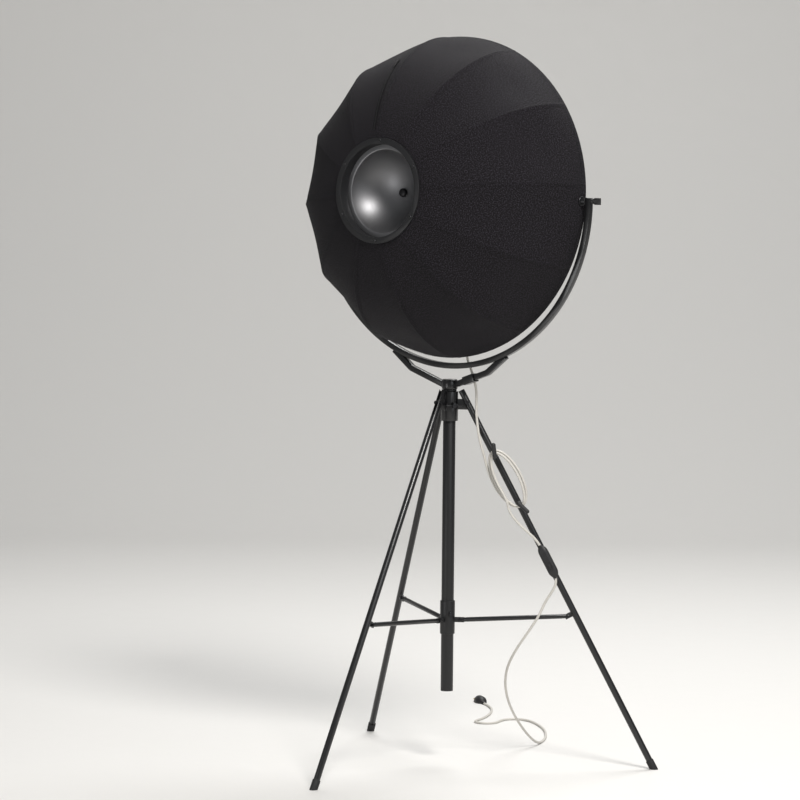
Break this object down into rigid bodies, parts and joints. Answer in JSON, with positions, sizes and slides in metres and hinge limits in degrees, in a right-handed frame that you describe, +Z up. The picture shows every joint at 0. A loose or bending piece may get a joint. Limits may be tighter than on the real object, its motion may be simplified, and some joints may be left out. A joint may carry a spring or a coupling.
{
  "type": "tripod spotlight floor lamp",
  "caption": "Floor lamp with a deep ribbed fabric dome on a fork, carried by a sliding mast on a braced tripod, with its cord in a hank on one leg.",
  "frame": {"origin": "point on the floor on the axis of the column", "axes": "+Z up along the column, the lamp's open front faces -Y, the tilt axis runs along X"},
  "size_m": [1.0522, 1.4401, 1.865],
  "materials": {
    "black_fabric": "coarse woven, matt",
    "white_fabric": "plain woven, matt",
    "black_paint": "semi-gloss powder coat",
    "dark_tube": "satin",
    "bright_tube": "satin",
    "dark_ring": "satin",
    "bowl_aluminium": "satin",
    "steel": "satin",
    "black_plastic": "fine matt",
    "foot_rubber": "matt",
    "cord_grey": "smooth, semi-matt",
    "brass": "polished",
    "frosted_glass": "frosted"
  },
  "bodies": {
    "tripod": {"column_tube": "dark_tube", "column_end_plug": "black_plastic", "tripod_hub": "black_paint", "leg_left": "black_paint", "leg_rear": "black_paint", "leg_right": "black_paint", "leg_bolts": "steel", "foot_caps": "foot_rubber", "brace_left": "black_paint", "brace_rear": "black_paint", "brace_right": "black_paint", "brace_sleeve": "dark_tube", "brace_inner_bolts": "steel", "brace_outer_bolts": "steel", "sleeve_set_screw": "steel", "cleat_hook_lower": "black_plastic", "cleat_hook_upper": "black_plastic", "cord_hank": "cord_grey", "cord_to_dimmer": "cord_grey", "cord_on_floor": "cord_grey", "cord_at_mast": "cord_grey", "dimmer_shell_lower": "black_plastic", "dimmer_shell_upper": "black_plastic", "plug_body": "black_plastic", "plug_pins": "brass"},
    "clamp": {"clamp_screw": "steel", "tommy_bar": "steel"},
    "slider": {"dimmer_slider": "black_plastic"},
    "mast": {"mast_tube": "bright_tube", "stop_ring": "dark_tube", "swivel_spigot": "steel", "mast_glide": "black_plastic", "cord_at_swivel": "cord_grey"},
    "fork": {"swivel_hub": "black_paint", "swivel_cap": "black_paint", "fork_arm_left": "black_paint", "fork_arm_right": "black_paint", "yoke": "black_paint", "cord_clip": "black_paint", "cord_at_yoke": "cord_grey"},
    "head": {"dome_fabric": "black_fabric", "dome_lining": "white_fabric", "dome_ribs": "black_paint", "rim_hoop": "black_paint", "zip_tape": "black_fabric", "hub_ring": "dark_ring", "clamp_ring": "dark_ring", "ring_screws": "steel", "rear_bowl": "bowl_aluminium", "bowl_cap_nut": "steel", "lampholder": "black_plastic", "bulb": "frosted_glass", "pivot_boss_left": "steel", "pivot_boss_right": "steel", "pivot_washers": "black_plastic", "cord_gland": "black_plastic", "inner_lead": "cord_grey"},
    "thumb_left": {"thumb_screw_left": "black_plastic"},
    "thumb_right": {"thumb_screw_right": "black_plastic"}
  },
  "joints": [
    {"name": "mast_lift", "type": "slide", "parent": "tripod", "child": "mast", "axis": [0, 0, 1], "range_m": [0, 0.42], "deforming": ["cord_at_mast"]},
    {"name": "fork_turn", "type": "hinge", "parent": "mast", "child": "fork", "pos_m": [0, 0, 0.976], "axis": [0, 0, 1], "range_deg": [-90, 90], "deforming": ["cord_at_swivel"]},
    {"name": "head_tilt", "type": "hinge", "parent": "fork", "child": "head", "pos_m": [0, 0, 1.457], "axis": [1, 0, 0], "range_deg": [-60, 60], "deforming": ["cord_at_yoke"]},
    {"name": "thumb_left_turn", "type": "hinge", "parent": "head", "child": "thumb_left", "pos_m": [-0.438, 0, 1.457], "axis": [-1, 0, 0], "range_deg": [-180, 0]},
    {"name": "thumb_right_turn", "type": "hinge", "parent": "head", "child": "thumb_right", "pos_m": [0.438, 0, 1.457], "axis": [1, 0, 0], "range_deg": [-180, 0]},
    {"name": "clamp_turn", "type": "hinge", "parent": "tripod", "child": "clamp", "pos_m": [-0.02598, 0.015, 0.926], "axis": [-0.866, 0.5, 0], "range_deg": [-180, 0]},
    {"name": "dimmer_slide", "type": "slide", "parent": "tripod", "child": "slider", "axis": [0.4033, 0.2329, 0.8849], "range_m": [0, 0.024]}
  ]
}
